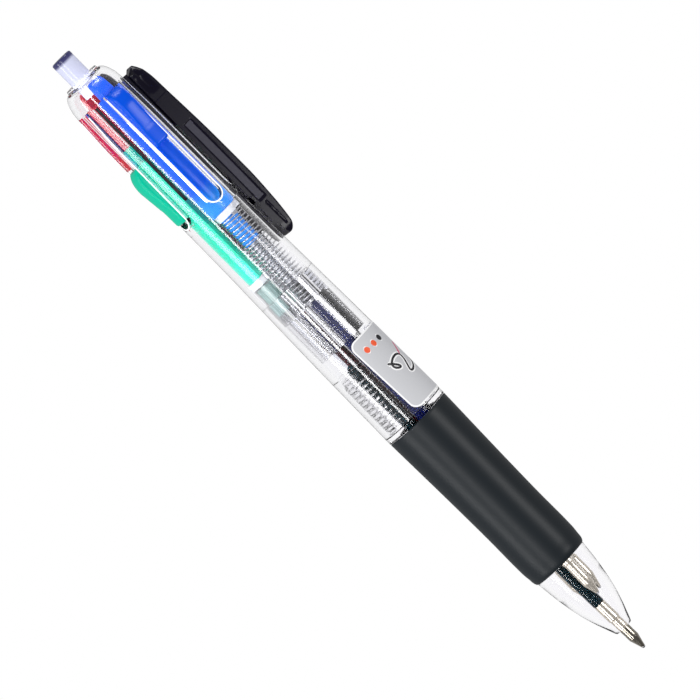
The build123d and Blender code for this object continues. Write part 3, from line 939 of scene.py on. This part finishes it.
class PEN_OT_label(bpy.types.Operator):
    """The printed label, with plain marks that spell nothing"""

    bl_idname = "pen.label"
    bl_label = "Label"

    def execute(self, context):
        part = Part()
        rounded_sheet(part, 0.0, 1.5, *FILM, WHITE)
        rounded_sheet(part, RIM, 1.3, FILM[1] + 0.001, FILM[1] + 0.01, GREY)
        t = np.linspace(0, 1, 160)
        wave_l = 78.2 + 3.0 * t + 1.5 * np.sin(t * 2 * np.pi * 1.6)
        wave_arc = 2.6 + 5.2 * t + 1.1 * np.sin(t * 2 * np.pi * 2.3)
        stroke(part, wave_l, wave_arc, 0.95, PRINT, WHITE)
        stroke(part, wave_l, wave_arc, 0.42, OVERPRINT, BLACK)
        for start, end, mat in DOTS:
            arc = np.linspace(start, end, 40)
            line = np.full_like(arc, DOT_LINE)
            stroke(part, line, arc, 1.75, PRINT, WHITE)
            stroke(part, line, arc, 1.25, OVERPRINT, mat)
        arc = np.linspace(6.6, 8.6, 60)
        stroke(part, 78.6 - 1.2 * (arc - 6.6), arc, 0.35, PRINT, ROSE)
        materials = [looks()[k] for k in ("white", "label", "ink_black", "ink_orange", "ink_rose")]
        part.object("label_film", "barrel", materials, ["label"], "label_film")
        return {"FINISHED"}


# ------------------------------------------------------------------ stage
LAMPS = (  # name, place, what it looks at, size, watts; metres
    ("softbox_left", (0.0, -0.37, 0.19), (0, 0, 0), (0.5, 0.10), 1.0),
    ("softbox_right", (0.075, 0.33, 0.26), (0.02, 0, 0), (0.15, 0.12), 0.5),
    ("strip_above", (0.0, -0.164, 0.387), (0, 0, 0), (0.6, 0.045), 0.9),
    ("softbox_rear", (-0.40, 0.25, 0.12), (-0.06, 0, 0), (0.12, 0.12), 0.6),
)
ROOM, TABLE = (0.6, 0.10, 0.38), (1.0, 0.35, 0.6)  # brightness behind clear plastic, mirrored, and as light
TABLE_HALF = 2.0
# the camera looks down, leaning a little towards the plug end, and turned so that the pen runs from the upper
# left to the lower right
TURN_BY, LEAN = math.radians(45.34), math.radians(3.8)
DISTANCE, FIELD, SENSOR = 3.0, 0.12284, 36.0  # metres away, metres across the picture, millimetres
LOOK_AT = (-0.00078, AXIS[1] * MM + 0.00009, AXIS[2] * MM)


def room_light(tree, behind, mirrored, dull):
    """White to the camera, and as given `behind` clear plastic, `mirrored`, or as light on a `dull` face."""
    path = tree.nodes.new("ShaderNodeLightPath")
    level = None
    rays = (("Is Transmission Ray", behind), ("Is Reflection Ray", mirrored), ("Is Diffuse Ray", dull))
    for name, strength in rays:
        mix = tree.nodes.new("ShaderNodeMix")
        mix.inputs["A"].default_value = 1.0
        mix.inputs["B"].default_value = strength
        if level:
            tree.links.new(level, mix.inputs["A"])
        tree.links.new(path.outputs[name], mix.inputs["Factor"])
        level = mix.outputs["Result"]
    return level


def white_table():
    """A table that shines plain white, so that nothing casts a shadow on it."""
    white = bpy.data.materials.new("table_white")
    white.use_nodes = True
    nodes, links = white.node_tree.nodes, white.node_tree.links
    glow = nodes.new("ShaderNodeEmission")
    links.new(room_light(white.node_tree, *TABLE), glow.inputs["Strength"])
    links.new(glow.outputs[0], nodes["Material Output"].inputs["Surface"])
    mesh = bpy.data.meshes.new("table")
    corners = [(x * TABLE_HALF, y * TABLE_HALF, 0) for x, y in ((-1, -1), (1, -1), (1, 1), (-1, 1))]
    mesh.from_pydata(corners, [], [(0, 1, 2, 3)])
    mesh.materials.append(white)
    table = bpy.data.objects.new("table", mesh)
    bpy.context.scene.collection.objects.link(table)


def lamp(name, place, target, size, watts):
    """A rectangular lamp turned towards its target."""
    data = bpy.data.lights.new(name, "AREA")
    data.shape, data.energy = "RECTANGLE", watts
    data.size, data.size_y = size
    light = bpy.data.objects.new(name, data)
    light.location = place
    light.rotation_euler = (Vector(target) - Vector(place)).to_track_quat("-Z", "Y").to_euler()
    bpy.context.scene.collection.objects.link(light)


def camera():
    """The scene's camera."""
    up = Vector((-math.sin(TURN_BY), math.cos(TURN_BY), 0))
    direction = Vector((-math.sin(LEAN), 0, math.cos(LEAN)))
    side = up.cross(direction).normalized()
    basis = Matrix((side, direction.cross(side), direction)).transposed().to_4x4()
    cam = bpy.data.objects.new("camera", bpy.data.cameras.new("camera"))
    cam.data.sensor_width = SENSOR
    cam.data.lens = SENSOR * DISTANCE / FIELD
    cam.data.clip_end = 10.0
    cam.matrix_world = Matrix.Translation(Vector(LOOK_AT) + direction * DISTANCE) @ basis
    bpy.context.scene.collection.objects.link(cam)
    bpy.context.scene.camera = cam


class PEN_OT_stage(bpy.types.Operator):
    """White table, lights and camera"""

    bl_idname = "pen.stage"
    bl_label = "Stage"

    def execute(self, context):
        scene = context.scene
        scene.view_settings.view_transform = "Standard"
        scene.world = bpy.data.worlds.new("studio")
        scene.world.use_nodes = True
        tree = scene.world.node_tree
        back = tree.nodes["Background"]
        back.inputs["Color"].default_value = (1.0, 1.0, 1.0, 1.0)
        tree.links.new(room_light(tree, *ROOM), back.inputs["Strength"])
        white_table()
        for settings in LAMPS:
            lamp(*settings)
        camera()
        return {"FINISHED"}


# ------------------------------------------------------------------ panel
STEPS = (
    PEN_OT_barrel,
    PEN_OT_front,
    PEN_OT_buttons,
    PEN_OT_clip,
    PEN_OT_springs,
    PEN_OT_refills,
    PEN_OT_label,
    PEN_OT_stage,
)


class PEN_PT_sidebar(bpy.types.Panel):
    """Sizes, colours and build steps of the pen"""

    bl_label = "Pen"
    bl_idname = "PEN_PT_sidebar"
    bl_space_type = "VIEW_3D"
    bl_region_type = "UI"
    bl_category = "Pen"

    def draw(self, context):
        for group in (context.scene.pen_shape, context.scene.pen_colours):
            for key in group.__annotations__:
                self.layout.prop(group, key)
        for step in STEPS:
            self.layout.operator(step.bl_idname)


CLASSES = (PenShape, PenColours, *STEPS, PEN_PT_sidebar)


def register():
    for cls in CLASSES:
        bpy.utils.register_class(cls)
    bpy.types.Scene.pen_shape = PointerProperty(type=PenShape)
    bpy.types.Scene.pen_colours = PointerProperty(type=PenColours)


def unregister():
    del bpy.types.Scene.pen_colours
    del bpy.types.Scene.pen_shape
    for cls in reversed(CLASSES):
        bpy.utils.unregister_class(cls)


def main():
    register()
    for step in STEPS:
        group, name = step.bl_idname.split(".")
        getattr(getattr(bpy.ops, group), name)()


if __name__ == "__main__":
    main()
